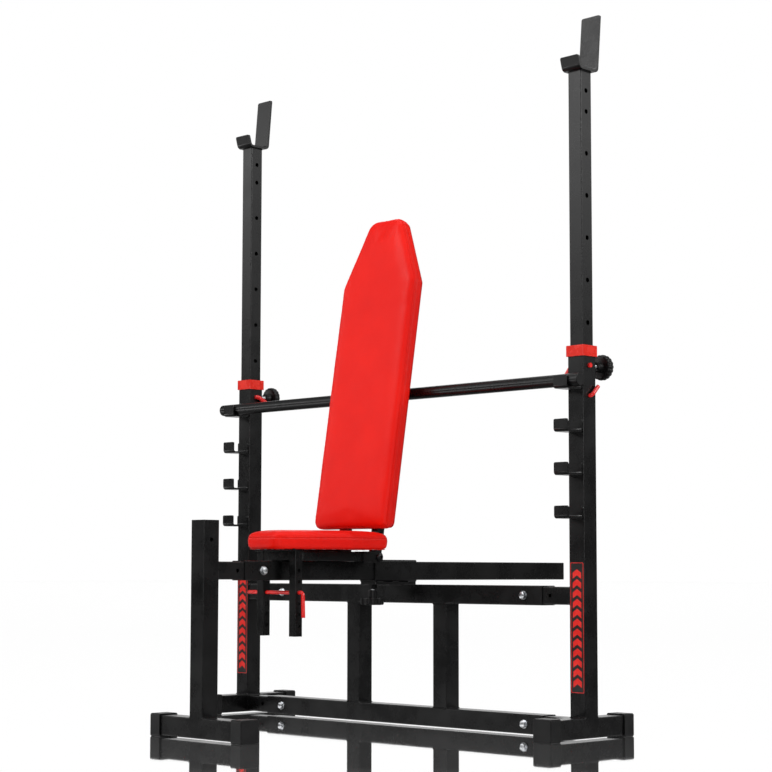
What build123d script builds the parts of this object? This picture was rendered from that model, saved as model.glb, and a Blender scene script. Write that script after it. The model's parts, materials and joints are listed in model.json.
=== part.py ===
from build123d import *
import math
import os

# Adjustable press and squat stand with a bench clamped to its middle crossbar.
# X runs along the crossbars, Y along the bench (the seat end is -Y), Z is up, and the floor is Z = 0.

# Posts and their feet
post_x = 643.0
post_y = 33.5
post_side = 50.0
tube_radius = 2.5
post_wall = 3.0
post_bottom = 54.0
post_top = 960.0
foot_axis_z = 29.0
foot_half = 163.0
cap_side = 58.0
cap_length = 38.0
cap_wall = 4.0

# Telescoping crossbars
bar_side = 50.0
bar_wall = 2.4
bar_half = 528.0
stub_side = 45.0
stub_wall = 2.5
stub_inner_x = 430.0
mid_z = 356.0
bolt_x = 465.0
stub_hole_pitch = 29.0
leg_x = 167.0

# Catches for the safety bar
catch_width = 44.0
catch_depth = 61.0
catch_height = 32.0
catch_plate = 5.0
catch_bottoms = (875.0, 766.3, 657.6, 548.9)

# Inner uprights, collars and hooks
inner_side = 42.0
inner_wall = 2.5
inner_bottom = 640.0
inner_top = 1697.0
collar_side = 58.0
collar_height = 28.0
upright_hole_pitch = 109.0
upright_hole_steps = (1, 2, 3, 4, 5, 6, 6.5)
hook_width = 60.0
hook_plate = 6.0
hook_front = 33.0
hook_back = 39.0
hook_lip_top = 1732.0
hook_top = 1852.0
hook_lean = 5.0
hook_lip_lean = 15.0

# Height pins, lower pins and clamp knobs of the posts
height_pin_z = 937.0
height_pin_d = 12.0
lower_pin_z = 860.0
lower_pin_d = 10.0
clamp_z = 938.5
clamp_screw_d = 10.0
clamp_knob_d = 66.0

# Safety bar that the backrest leans on
safety_d = 32.0
safety_z = catch_bottoms[0] + catch_plate + safety_d / 2
safety_half = 692.0
safety_plug = 4.0

# Bench beam, front post and front foot
beam_z = 418.0
beam_front = -554.5
beam_rear = 693.5
front_y = -664.5
front_top = 544.0
front_foot_half = 177.0
front_pin_z = 495.0
beam_bolt_y = -492.5
beam_hole_pitch = 28.0

# Saddle that carries the beam on the middle crossbar
saddle_front = -97.5
saddle_rear = 60.5
saddle_side = 60.0
saddle_wall = 4.9
saddle_knob_y = -78.5

# Shared hinge of the seat and the backrest
pivot_y = -132.5
pivot_z = 454.0
pivot_tube_d = 22.0
pivot_tube_half = 44.5
pivot_bolt_d = 12.0
lug_plate = 5.0
lug_height = 30.0

# Seat
rail_x = 62.5
rail_side = 25.0
rail_wall = 2.0
rail_z = 455.5
seat_leg_y = -415.5
seat_leg_bottom = 250.0
seat_hole_z = (278.0, 306.0, 334.0, 362.0, 390.0, 418.0)
seat_pin_z = 362.0
seat_pin_d = 10.0
seat_front = -481.5
seat_rear = -152.0
pad_width = 280.0
pad_nose = 116.0
pad_taper = 185.0
pad_thickness = 46.0
pad_bottom = 474.0
board_thickness = 12.0
board_inset = 9.0

# Backrest, in its own leaning frame: u runs up along the tubes, n points to the lifter
back_lean = 9.3
back_tube_side = 24.0
back_tube_depth = 25.0
back_tube_top = 800.0
back_pad_bottom = 72.0
back_pad_top = 938.0

os.makedirs("parts", exist_ok=True)

back_up = (0, math.sin(math.radians(back_lean)), math.cos(math.radians(back_lean)))
back_out = (0, -math.cos(math.radians(back_lean)), math.sin(math.radians(back_lean)))


def save(part, name):
    part.label = name
    export_step(part, "parts/" + name + ".step")


def along_x(x, y, z):
    """Plane at (x, y, z) whose sketches extrude towards +X, with its own x axis along +Y."""
    return Plane(origin=(x, y, z), x_dir=(0, 1, 0), z_dir=(1, 0, 0))


def along_y(x, y, z):
    """Plane at (x, y, z) whose sketches extrude towards +Y, with its own x axis along -X."""
    return Plane(origin=(x, y, z), x_dir=(-1, 0, 0), z_dir=(0, 1, 0))


def along_z(x, y, z):
    """Plane at (x, y, z) whose sketches extrude upwards."""
    return Plane(origin=(x, y, z))


def back_point(x, u, n):
    """Point in the backrest frame, measured from the hinge axis."""
    y = pivot_y + u * back_up[1] + n * back_out[1]
    z = pivot_z + u * back_up[2] + n * back_out[2]
    return (x, y, z)


def back_side(x):
    """Plane on the hinge axis at x that extrudes towards +X, with its own y axis up the backrest."""
    return Plane(origin=(x, pivot_y, pivot_z), x_dir=tuple(-c for c in back_out), z_dir=(1, 0, 0))


# The safety bar lies in the top catches with the back tubes resting against its front side.
bar_n = -(back_tube_depth / 2 + safety_d / 2 + 0.02)
bar_u = (safety_z - pivot_z - bar_n * back_out[2]) / back_up[2]
safety_y = back_point(0, bar_u, bar_n)[1]


def tube_profile(side, wall, radius, depth=None):
    """Square or rectangular tube section in the current sketch."""
    depth = depth or side
    RectangleRounded(side, depth, radius)
    RectangleRounded(side - 2 * wall, depth - 2 * wall, max(radius - wall, 0.8), mode=Mode.SUBTRACT)


# ---------------------------------------------------------------- posts and feet

def make_post(x, pin_side):
    """Outer post with the holes for its two pins and its clamp screw; pin_side points away from the bench."""
    with BuildPart() as post:
        with BuildSketch(along_z(x, post_y, post_bottom)):
            tube_profile(post_side, post_wall, tube_radius)
        extrude(amount=post_top - post_bottom)
        with BuildSketch(along_x(x - post_side, post_y, height_pin_z)):
            Circle(height_pin_d / 2 + 0.1)
        extrude(amount=2 * post_side, mode=Mode.SUBTRACT)
        with BuildSketch(along_x(x, post_y, lower_pin_z)):
            Circle(lower_pin_d / 2 + 0.1)
        extrude(amount=pin_side * post_side, mode=Mode.SUBTRACT)
        with BuildSketch(along_y(x, post_y, clamp_z)):
            Circle(clamp_screw_d / 2 + 0.5)
        extrude(amount=post_side, mode=Mode.SUBTRACT)
    return post.part


save(make_post(post_x, 1), "post_right")
save(make_post(-post_x, -1), "post_left")

for side_name, side in (("right", 1), ("left", -1)):
    with BuildPart() as foot_tube:
        with BuildSketch(along_y(side * post_x, post_y - foot_half + cap_wall, foot_axis_z)):
            tube_profile(post_side, post_wall, tube_radius)
        extrude(amount=2 * (foot_half - cap_wall))
    save(foot_tube.part, "foot_tube_" + side_name)


def make_cap(plane):
    """End cap that sleeves over a square tube; the plane is its closed outer end, facing the tube."""
    with BuildPart() as cap:
        with BuildSketch(plane):
            RectangleRounded(cap_side, cap_side, 5.0)
        extrude(amount=cap_length)
        fillet(cap.faces().sort_by(Axis(plane.origin, plane.z_dir))[0].edges(), 2.0)
        with BuildSketch(plane.offset(cap_wall)):
            RectangleRounded(post_side + 0.1, post_side + 0.1, tube_radius - 0.1)
        extrude(amount=cap_length - cap_wall, mode=Mode.SUBTRACT)
    return cap.part


caps = []
for side in (-1, 1):
    front_end = along_y(side * post_x, post_y - foot_half, foot_axis_z)
    rear_end = Plane(origin=(side * post_x, post_y + foot_half, foot_axis_z), x_dir=(1, 0, 0), z_dir=(0, -1, 0))
    caps.append(make_cap(front_end))
    caps.append(make_cap(rear_end))
with BuildPart() as foot_caps:
    add(caps)
save(foot_caps.part, "foot_caps")

# ---------------------------------------------------------------- crossbars

for bar_name, bar_z in (("lower_crossbar", foot_axis_z), ("middle_crossbar", mid_z)):
    with BuildPart() as crossbar:
        with BuildSketch(along_x(-bar_half, post_y, bar_z)):
            tube_profile(bar_side, bar_wall, tube_radius)
        extrude(amount=2 * bar_half)
        with BuildSketch(along_y(0, post_y - bar_side, bar_z)):
            with Locations((-bolt_x, 0), (bolt_x, 0)):
                Circle(5.2)
        extrude(amount=2 * bar_side, mode=Mode.SUBTRACT)
    save(crossbar.part, bar_name)

with BuildPart() as crossbar_stubs:
    for stub_z in (foot_axis_z, mid_z):
        for start in (stub_inner_x, -post_x + post_side / 2):
            with BuildSketch(along_x(start, post_y, stub_z)):
                tube_profile(stub_side, stub_wall, 3.0)
            extrude(amount=post_x - post_side / 2 - stub_inner_x)
        for side in (-1, 1):
            for k in range(4):
                with BuildSketch(along_y(side * (bolt_x + k * stub_hole_pitch), post_y - bar_side, stub_z)):
                    Circle(5.2)
                extrude(amount=2 * bar_side, mode=Mode.SUBTRACT)
save(crossbar_stubs.part, "crossbar_stubs")


def make_bolt(plane, grip, shank=10.0):
    """Hex bolt with washers, a nut and its thread end; the plane is the near face, facing the nut."""
    with BuildPart() as bolt:
        with BuildSketch(plane.offset(-8.0)):
            RegularPolygon(9.5, 6)
        extrude(amount=6.0)
        with BuildSketch(plane.offset(-2.0)):
            Circle(11.5)
        extrude(amount=2.0)
        with BuildSketch(plane.offset(-1.0)):
            Circle(shank / 2)
        extrude(amount=grip + 14.0)
        with BuildSketch(plane.offset(grip)):
            Circle(11.5)
        extrude(amount=2.0)
        with BuildSketch(plane.offset(grip + 2.0)):
            RegularPolygon(9.5, 6)
        extrude(amount=8.0)
    return bolt.part


bolts = []
for bolt_z in (foot_axis_z, mid_z):
    for x in (-bolt_x, bolt_x):
        bolts.append(make_bolt(along_y(x, post_y - bar_side / 2, bolt_z), bar_side))
with BuildPart() as crossbar_bolts:
    add(bolts)
save(crossbar_bolts.part, "crossbar_bolts")

with BuildPart() as centre_legs:
    for x in (-leg_x, leg_x):
        with BuildSketch(along_z(x, post_y, foot_axis_z + bar_side / 2)):
            tube_profile(bar_side, bar_wall, tube_radius)
        extrude(amount=mid_z - foot_axis_z - bar_side)
save(centre_legs.part, "centre_legs")

# ---------------------------------------------------------------- catches for the safety bar


def make_catch(x, bottom):
    """One bent plate with a front lip and a rear arm against the post."""
    centre_y = post_y - post_side / 2 - catch_depth / 2
    outer = catch_depth / 2
    inner = outer - catch_plate
    with BuildPart() as catch:
        with BuildSketch(along_x(x - catch_width / 2, centre_y, bottom)) as profile:
            with Locations((0, catch_height / 2)):
                Rectangle(2 * outer, catch_height)
            fillet(profile.vertices().group_by(Axis.Y)[0], 9.0)
            with BuildLine():
                FilletPolyline(
                    (-inner, catch_height), (-inner, catch_plate), (inner, catch_plate), (inner, catch_height),
                    radius=4.0,
                )
                Line((inner, catch_height), (-inner, catch_height))
            make_face(mode=Mode.SUBTRACT)
        extrude(amount=catch_width)
        fillet(catch.edges().filter_by(Axis.Y).group_by(Axis.Z)[-1], 4.0)
    return catch.part


for side_name, side in (("right", 1), ("left", -1)):
    side_catches = [make_catch(side * post_x, bottom) for bottom in catch_bottoms]
    with BuildPart() as catches:
        add(side_catches)
    save(catches.part, "catches_" + side_name)

# ---------------------------------------------------------------- collars and clamp bosses

for side_name, side in (("right", 1), ("left", -1)):
    with BuildPart() as collar:
        with BuildSketch(along_z(side * post_x, post_y, post_top)):
            RectangleRounded(collar_side, collar_side, 4.0)
        extrude(amount=collar_height)
        fillet(collar.edges().group_by(Axis.Z)[-1], 1.5)
        with BuildSketch(along_z(side * post_x, post_y, post_top - 14.0)):
            RectangleRounded(post_side - 2 * post_wall - 0.1, post_side - 2 * post_wall - 0.1, 1.2)
        extrude(amount=14.0)
        with BuildSketch(along_z(side * post_x, post_y, post_top - 14.0)):
            RectangleRounded(inner_side + 0.15, inner_side + 0.15, tube_radius - 0.1)
        extrude(amount=14.0 + collar_height, mode=Mode.SUBTRACT)
    save(collar.part, "collar_" + side_name)

with BuildPart() as clamp_bosses:
    for side in (-1, 1):
        with BuildSketch(along_y(side * post_x, post_y + post_side / 2, clamp_z)):
            Circle(12.0)
            Circle(clamp_screw_d / 2 + 0.05, mode=Mode.SUBTRACT)
        extrude(amount=11.0)
save(clamp_bosses.part, "clamp_bosses")

# ---------------------------------------------------------------- inner uprights with their hooks

for side_name, side in (("right", 1), ("left", -1)):
    with BuildPart() as inner_upright:
        with BuildSketch(along_z(side * post_x, post_y, inner_bottom)):
            tube_profile(inner_side, inner_wall, tube_radius)
        extrude(amount=inner_top - inner_bottom)
        for step in upright_hole_steps:
            hole_z = height_pin_z + step * upright_hole_pitch
            with BuildSketch(along_x(side * post_x - post_side, post_y, hole_z)):
                Circle(6.25)
            extrude(amount=2 * post_side, mode=Mode.SUBTRACT)
        slot_top = height_pin_z + height_pin_d / 2 + 0.05
        with BuildSketch(along_x(side * post_x - post_side, post_y, (inner_bottom + slot_top) / 2)) as slot:
            Rectangle(height_pin_d + 0.1, slot_top - inner_bottom)
            fillet(slot.vertices().group_by(Axis.Y)[-1], height_pin_d / 2)
        extrude(amount=2 * post_side, mode=Mode.SUBTRACT)
    save(inner_upright.part, "inner_upright_" + side_name)

for side_name, side in (("right", 1), ("left", -1)):
    rise = hook_top - inner_top
    lean = rise * math.tan(math.radians(hook_lean))
    lip = hook_lip_top - inner_top
    lip_lean = math.tan(math.radians(hook_lip_lean))
    lip_y = hook_plate / math.cos(math.radians(hook_lip_lean))
    inner_front = -hook_front + lip_y - hook_plate * lip_lean
    plate_y = hook_plate / math.cos(math.radians(hook_lean))
    inner_back = hook_back - plate_y + hook_plate * math.tan(math.radians(hook_lean))
    with BuildPart() as hook:
        with BuildSketch(along_x(side * post_x - hook_width / 2, post_y, inner_top)) as profile:
            with BuildLine():
                Polyline(
                    (-hook_front, 0),
                    (hook_back, 0),
                    (hook_back + lean, rise),
                    (hook_back + lean - plate_y, rise),
                    (inner_back, hook_plate),
                    (inner_front, hook_plate),
                    (-hook_front + lip_y - lip * lip_lean, lip),
                    (-hook_front - lip * lip_lean, lip),
                    close=True,
                )
            make_face()
            fillet(profile.vertices().group_by(Axis.Y)[1], 8.0)
            fillet(profile.vertices().group_by(Axis.Y)[0], 14.0)
        extrude(amount=hook_width)
        end_edges = hook.edges().filter_by(Axis.Y).group_by(Axis.Z)
        fillet(end_edges[-1] + end_edges[-2], 5.0)
    save(hook.part, "hook_" + side_name)

# ---------------------------------------------------------------- pins of the posts


def make_bent_pin(start, bend, end, diameter):
    """Round rod from start to the bend and on to the end of its handle."""
    with BuildPart() as pin:
        with BuildLine():
            FilletPolyline(start, bend, end, radius=diameter * 0.8)
        with BuildSketch(Plane(origin=start, z_dir=Vector(*bend) - Vector(*start))):
            Circle(diameter / 2)
        sweep()
    return pin.part


height_bend = post_x - post_side / 2 - 10.0
height_tip = post_x + post_side / 2 + 5.0
for side_name, side, swing, drop in (("right", 1, -20.0, 24.0), ("left", -1, 32.0, 17.0)):
    height_pin = make_bent_pin(
        (side * height_tip, post_y, height_pin_z),
        (side * height_bend, post_y, height_pin_z),
        (side * height_bend, post_y + swing, height_pin_z - drop),
        height_pin_d,
    )
    save(height_pin, "height_pin_" + side_name)

lower_tip = post_x - 8.0
lower_bend = post_x + post_side / 2 + 8.0
for side_name, side in (("right", 1), ("left", -1)):
    lower_pin = make_bent_pin(
        (side * lower_tip, post_y, lower_pin_z),
        (side * lower_bend, post_y, lower_pin_z),
        (side * lower_bend, post_y + 25.0, lower_pin_z + 25.0),
        lower_pin_d,
    )
    save(lower_pin, "lower_pin_" + side_name)

# ---------------------------------------------------------------- clamp knobs of the posts

for side_name, side in (("right", 1), ("left", -1)):
    with BuildPart() as clamp_screw:
        with BuildSketch(along_y(side * post_x, post_y + inner_side / 2 + 0.05, clamp_z)):
            Circle(clamp_screw_d / 2)
        extrude(amount=50.0)
    save(clamp_screw.part, "clamp_screw_" + side_name)

    knob_start = post_y + inner_side / 2 + 0.05 + 34.0
    with BuildPart() as clamp_knob:
        with BuildSketch(along_y(side * post_x, knob_start, clamp_z)):
            Circle(13.0)
        extrude(amount=16.0)
        with BuildSketch(along_y(side * post_x, knob_start + 16.0, clamp_z)):
            Circle(clamp_knob_d / 2)
        extrude(amount=21.0)
        disc_edges = clamp_knob.edges().filter_by(GeomType.CIRCLE).filter_by(lambda e: e.radius > 30)
        fillet(disc_edges, 6.0)
        with BuildSketch(along_y(side * post_x, knob_start, clamp_z)):
            Circle(clamp_screw_d / 2)
        extrude(amount=16.0, mode=Mode.SUBTRACT)
    save(clamp_knob.part, "clamp_knob_" + side_name)

# ---------------------------------------------------------------- safety bar

with BuildPart() as safety_tube:
    with BuildSketch(along_x(safety_plug - safety_half, safety_y, safety_z)):
        Circle(safety_d / 2)
        Circle(safety_d / 2 - 2.5, mode=Mode.SUBTRACT)
    extrude(amount=2 * (safety_half - safety_plug))
save(safety_tube.part, "safety_tube")

with BuildPart() as safety_plugs:
    for side in (-1, 1):
        with BuildSketch(along_x(side * safety_half, safety_y, safety_z)):
            Circle(safety_d / 2)
        extrude(amount=-side * safety_plug)
        fillet(safety_plugs.faces().sort_by(Axis.X)[0 if side < 0 else -1].edges(), 1.5)
        with BuildSketch(along_x(side * (safety_half - safety_plug), safety_y, safety_z)):
            Circle(safety_d / 2 - 2.5)
        extrude(amount=-side * 14.0)
save(safety_plugs.part, "safety_plugs")

# ---------------------------------------------------------------- bench beam and front support

with BuildPart() as bench_beam:
    with BuildSketch(along_y(0, beam_front, beam_z)):
        tube_profile(bar_side, bar_wall, tube_radius)
    extrude(amount=beam_rear - 3.0 - beam_front)
    with BuildSketch(along_x(-bar_side, beam_bolt_y, beam_z)):
        Circle(5.2)
    extrude(amount=2 * bar_side, mode=Mode.SUBTRACT)
save(bench_beam.part, "bench_beam")

with BuildPart() as beam_plug:
    with BuildSketch(along_y(0, beam_rear - 3.0, beam_z)):
        RectangleRounded(bar_side, bar_side, tube_radius)
    extrude(amount=3.0)
    with BuildSketch(along_y(0, beam_rear - 23.0, beam_z)):
        tube_profile(bar_side - 2 * bar_wall, 2.5, 1.6)
    extrude(amount=20.0)
save(beam_plug.part, "beam_plug")

stub_holes = [beam_bolt_y - k * beam_hole_pitch for k in range(4)]
with BuildPart() as front_stub:
    with BuildSketch(along_y(0, front_y + post_side / 2, beam_z)):
        tube_profile(stub_side, stub_wall, 3.0)
    extrude(amount=215.0)
    for y in stub_holes:
        with BuildSketch(along_x(-bar_side, y, beam_z)):
            Circle(5.2)
        extrude(amount=2 * bar_side, mode=Mode.SUBTRACT)
save(front_stub.part, "front_stub")

front_bolt_plane = Plane(origin=(bar_side / 2, beam_bolt_y, beam_z), x_dir=(0, 1, 0), z_dir=(-1, 0, 0))
save(make_bolt(front_bolt_plane, bar_side), "front_bolt")

with BuildPart() as front_post:
    with BuildSketch(along_z(0, front_y, foot_axis_z + post_side / 2)):
        tube_profile(post_side, bar_wall, tube_radius)
    extrude(amount=front_top - foot_axis_z - post_side / 2)
    with BuildSketch(along_x(-post_side, front_y, front_pin_z)):
        Circle(5.5)
    extrude(amount=2 * post_side, mode=Mode.SUBTRACT)
save(front_post.part, "front_post")

with BuildPart() as front_foot_tube:
    with BuildSketch(along_x(-front_foot_half + cap_wall, front_y, foot_axis_z)):
        tube_profile(post_side, post_wall, tube_radius)
    extrude(amount=2 * (front_foot_half - cap_wall))
save(front_foot_tube.part, "front_foot_tube")

left_end = along_x(-front_foot_half, front_y, foot_axis_z)
right_end = Plane(origin=(front_foot_half, front_y, foot_axis_z), x_dir=(0, 1, 0), z_dir=(-1, 0, 0))
front_caps = [make_cap(left_end), make_cap(right_end)]
with BuildPart() as front_foot_caps:
    add(front_caps)
save(front_foot_caps.part, "front_foot_caps")

# ---------------------------------------------------------------- saddle on the middle crossbar

saddle_length = saddle_rear - saddle_front
saddle_bottom = beam_z - saddle_side / 2
crossbar_top = mid_z + bar_side / 2

with BuildPart() as saddle_sleeve:
    with BuildSketch(along_y(0, saddle_front, beam_z)):
        RectangleRounded(saddle_side, saddle_side, 5.0)
        RectangleRounded(bar_side + 0.15, bar_side + 0.15, tube_radius - 0.1, mode=Mode.SUBTRACT)
    extrude(amount=saddle_length)
    with BuildSketch(along_z(0, saddle_knob_y, saddle_bottom)):
        Circle(6.05)
    extrude(amount=saddle_wall + 1.0, mode=Mode.SUBTRACT)
save(saddle_sleeve.part, "saddle_sleeve")

with BuildPart() as saddle_base:
    with BuildSketch(along_z(0, (saddle_front + saddle_rear) / 2, crossbar_top)):
        RectangleRounded(saddle_side, saddle_length, 5.0)
        with Locations((0, saddle_knob_y - (saddle_front + saddle_rear) / 2)):
            Circle(6.05, mode=Mode.SUBTRACT)
    extrude(amount=saddle_bottom - crossbar_top)
save(saddle_base.part, "saddle_base")

with BuildPart() as saddle_nut:
    with BuildSketch(along_z(0, saddle_knob_y, crossbar_top - 12.0)):
        RegularPolygon(11.0, 6)
        Circle(6.05, mode=Mode.SUBTRACT)
    extrude(amount=12.0)
save(saddle_nut.part, "saddle_nut")

with BuildPart() as saddle_screw:
    with BuildSketch(along_z(0, saddle_knob_y, 330.0)):
        Circle(6.0)
    extrude(amount=beam_z - bar_side / 2 - 0.05 - 330.0)
save(saddle_screw.part, "saddle_screw")

with BuildPart() as saddle_knob:
    with BuildSketch(along_z(0, saddle_knob_y, 326.0)) as lobes:
        Circle(24.0)
        with PolarLocations(25.0, 5):
            Circle(8.0)
        fillet(lobes.vertices(), 4.0)
    extrude(amount=18.0)
    fillet(saddle_knob.edges().group_by(Axis.Z)[0], 4.0)
    with BuildSketch(along_z(0, saddle_knob_y, 344.0)):
        Circle(12.5)
    extrude(amount=22.0)
    with BuildSketch(along_z(0, saddle_knob_y, 330.0)):
        Circle(6.0)
    extrude(amount=60.0, mode=Mode.SUBTRACT)
save(saddle_knob.part, "saddle_knob")

# ---------------------------------------------------------------- hinge on the beam

with BuildPart() as pivot_tube:
    with BuildSketch(along_x(-pivot_tube_half, pivot_y, pivot_z)):
        Circle(pivot_tube_d / 2)
        Circle(pivot_bolt_d / 2 + 0.05, mode=Mode.SUBTRACT)
    extrude(amount=2 * pivot_tube_half)
save(pivot_tube.part, "pivot_tube")

with BuildPart() as pivot_bolt:
    head_x = rail_x + rail_side / 2 + lug_plate
    with BuildSketch(along_x(-head_x - 8.0, pivot_y, pivot_z)):
        Circle(pivot_bolt_d / 2)
    extrude(amount=2 * head_x + 16.0)
    for start in (-head_x - 7.0, head_x):
        with BuildSketch(along_x(start, pivot_y, pivot_z)):
            Circle(11.0)
        extrude(amount=7.0)
save(pivot_bolt.part, "pivot_bolt")

# ---------------------------------------------------------------- seat

rail_rear = pivot_y - 24.0
with BuildPart() as seat_rails:
    for x in (-rail_x, rail_x):
        with BuildSketch(along_y(x, seat_leg_y + rail_side / 2, rail_z)):
            tube_profile(rail_side, rail_wall, 2.5)
        extrude(amount=rail_rear - seat_leg_y - rail_side / 2)
save(seat_rails.part, "seat_rails")

with BuildPart() as seat_legs:
    for x in (-rail_x, rail_x):
        with BuildSketch(along_z(x, seat_leg_y, seat_leg_bottom + 2.0)):
            tube_profile(rail_side, rail_wall, 2.5)
        extrude(amount=rail_z + rail_side / 2 - seat_leg_bottom - 2.0)
        for z in seat_hole_z:
            with BuildSketch(along_x(x - rail_side, seat_leg_y, z)):
                Circle(seat_pin_d / 2 + 0.1)
            extrude(amount=2 * rail_side, mode=Mode.SUBTRACT)
save(seat_legs.part, "seat_legs")

with BuildPart() as seat_leg_plugs:
    for x in (-rail_x, rail_x):
        with BuildSketch(along_z(x, seat_leg_y, seat_leg_bottom)):
            RectangleRounded(rail_side, rail_side, 2.5)
        extrude(amount=2.0)
        with BuildSketch(along_z(x, seat_leg_y, seat_leg_bottom + 2.0)):
            RectangleRounded(rail_side - 2 * rail_wall, rail_side - 2 * rail_wall, 0.8)
        extrude(amount=15.0)
save(seat_leg_plugs.part, "seat_leg_plugs")

with BuildPart() as seat_cross_tube:
    with BuildSketch(along_x(-rail_x + rail_side / 2, seat_leg_y, rail_z)):
        tube_profile(rail_side, rail_wall, 2.5)
    extrude(amount=2 * rail_x - rail_side)
save(seat_cross_tube.part, "seat_cross_tube")

with BuildPart() as seat_flats:
    for y in (seat_leg_y, -250.0):
        with BuildSketch(along_z(0, y, rail_z + rail_side / 2)):
            Rectangle(2 * rail_x + rail_side, 40.0)
        extrude(amount=pad_bottom - rail_z - rail_side / 2)
save(seat_flats.part, "seat_flats")

with BuildPart() as seat_lugs:
    for start in (rail_x + rail_side / 2, rail_x - rail_side / 2 - lug_plate):
        for side in (-1, 1):
            x = start if side > 0 else -start - lug_plate
            with BuildSketch(along_x(x, pivot_y, pivot_z)):
                with Locations((-29.0, 0)):
                    Rectangle(58.0, lug_height)
                Circle(lug_height / 2)
                Circle(pivot_bolt_d / 2 + 0.05, mode=Mode.SUBTRACT)
            extrude(amount=lug_plate)
save(seat_lugs.part, "seat_lugs")


def pad_outline(plane, length, inset=0.0):
    """Pad outline with its tapered nose towards the plane's +Y, from y = 0 to y = length."""
    wide = pad_width / 2 - inset
    nose = pad_nose / 2 - inset * 0.8
    shoulder = length - pad_taper
    with BuildSketch(plane) as outline:
        with BuildLine():
            Polyline(
                (wide, inset),
                (wide, shoulder),
                (nose, length - inset),
                (-nose, length - inset),
                (-wide, shoulder),
                (-wide, inset),
                close=True,
            )
        make_face()
        fillet(outline.vertices(), 18.0)
    return outline.sketch


def make_pad(plane, length):
    """Closed pad with a pocket in its back for the board; the plane is its back, facing the pad."""
    outline = pad_outline(plane, length)
    pocket = pad_outline(plane, length, board_inset)
    with BuildPart() as pad:
        extrude(outline, amount=pad_thickness)
        fillet(pad.faces().sort_by(Axis(plane.origin, plane.z_dir))[-1].edges(), 12.0)
        extrude(pocket, amount=board_thickness, mode=Mode.SUBTRACT)
    return pad.part


def make_board(plane, length):
    """Board that fills the pocket of a pad."""
    outline = pad_outline(plane, length, board_inset)
    with BuildPart() as board:
        extrude(outline, amount=board_thickness)
    return board.part


seat_plane = Plane(origin=(0, seat_rear, pad_bottom), x_dir=(-1, 0, 0), z_dir=(0, 0, 1))
save(make_pad(seat_plane, seat_rear - seat_front), "seat_pad")
save(make_board(seat_plane, seat_rear - seat_front), "seat_board")

seat_pin = make_bent_pin(
    (-120.0, seat_leg_y, seat_pin_z),
    (90.0, seat_leg_y, seat_pin_z),
    (92.0, seat_leg_y, seat_pin_z - 64.0),
    seat_pin_d,
)
save(seat_pin, "seat_pin")

# ---------------------------------------------------------------- backrest

with BuildPart() as back_tubes:
    for x in (-rail_x, rail_x):
        with BuildSketch(back_side(x - back_tube_side / 2)):
            with Locations((0, back_tube_top / 2)):
                Rectangle(back_tube_depth, back_tube_top)
            Circle(back_tube_depth / 2)
        extrude(amount=back_tube_side)
        with BuildSketch(back_side(x - back_tube_side / 2 + rail_wall)):
            with Locations((0, (back_tube_top + 16.0) / 2)):
                Rectangle(back_tube_depth - 2 * rail_wall, back_tube_top - 16.0)
        extrude(amount=back_tube_side - 2 * rail_wall, mode=Mode.SUBTRACT)
        with BuildSketch(back_side(x - back_tube_side)):
            Circle(pivot_bolt_d / 2 + 0.05)
        extrude(amount=2 * back_tube_side, mode=Mode.SUBTRACT)
save(back_tubes.part, "back_tubes")

with BuildPart() as back_tube_plugs:
    for x in (-rail_x, rail_x):
        with BuildSketch(back_side(x - back_tube_side / 2)):
            with Locations((0, back_tube_top + 1.5)):
                Rectangle(back_tube_depth, 3.0)
        extrude(amount=back_tube_side)
save(back_tube_plugs.part, "back_tube_plugs")

cross_depth = 15.5
cross_width = 25.0
with BuildPart() as back_cross_tubes:
    for u in (95.0, 420.0, 745.0):
        with BuildSketch(back_side(-rail_x + back_tube_side / 2)):
            with Locations((-(back_tube_depth - cross_depth) / 2, u)):
                tube_profile(cross_depth, rail_wall, 2.2, cross_width)
        extrude(amount=2 * rail_x - back_tube_side)
save(back_cross_tubes.part, "back_cross_tubes")

back_plane = Plane(origin=back_point(0, back_pad_bottom, back_tube_depth / 2), x_dir=(1, 0, 0), z_dir=back_out)
save(make_pad(back_plane, back_pad_top - back_pad_bottom), "back_pad")
save(make_board(back_plane, back_pad_top - back_pad_bottom), "back_board")
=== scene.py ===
import json
import math
import random

import bmesh
import bpy
import numpy as np
from mathutils import Matrix, Vector
from mathutils.bvhtree import BVHTree


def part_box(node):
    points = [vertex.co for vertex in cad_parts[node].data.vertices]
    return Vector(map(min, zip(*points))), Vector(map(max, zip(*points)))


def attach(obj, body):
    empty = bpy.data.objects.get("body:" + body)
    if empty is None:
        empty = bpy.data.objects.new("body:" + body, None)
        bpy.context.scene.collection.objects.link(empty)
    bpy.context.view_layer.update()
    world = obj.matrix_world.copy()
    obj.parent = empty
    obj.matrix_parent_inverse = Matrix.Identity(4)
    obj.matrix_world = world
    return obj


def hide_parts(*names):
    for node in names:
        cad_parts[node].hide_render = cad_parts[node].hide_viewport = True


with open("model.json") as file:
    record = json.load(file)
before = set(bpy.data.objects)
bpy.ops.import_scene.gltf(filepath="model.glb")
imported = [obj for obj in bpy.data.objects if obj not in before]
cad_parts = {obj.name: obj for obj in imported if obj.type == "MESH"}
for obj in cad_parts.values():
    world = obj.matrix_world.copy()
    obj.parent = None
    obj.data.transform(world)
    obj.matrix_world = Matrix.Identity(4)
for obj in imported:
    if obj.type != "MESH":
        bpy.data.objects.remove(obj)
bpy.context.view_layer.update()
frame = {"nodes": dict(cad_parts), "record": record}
nodes = frame["nodes"]
scene = bpy.context.scene

# ---------------------------------------------------------------- camera, light and floor

IMAGE_SIDE = 772.0
FOCAL_PX = 1922.7
CAMERA_AT = (3.7447, -3.7356, 0.4183)
CAMERA_YAW = 45.457
CAMERA_PITCH = 5.144
CAMERA_ROLL = 0.108
CENTRE_PX = (380.5, 397.6)

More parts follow.
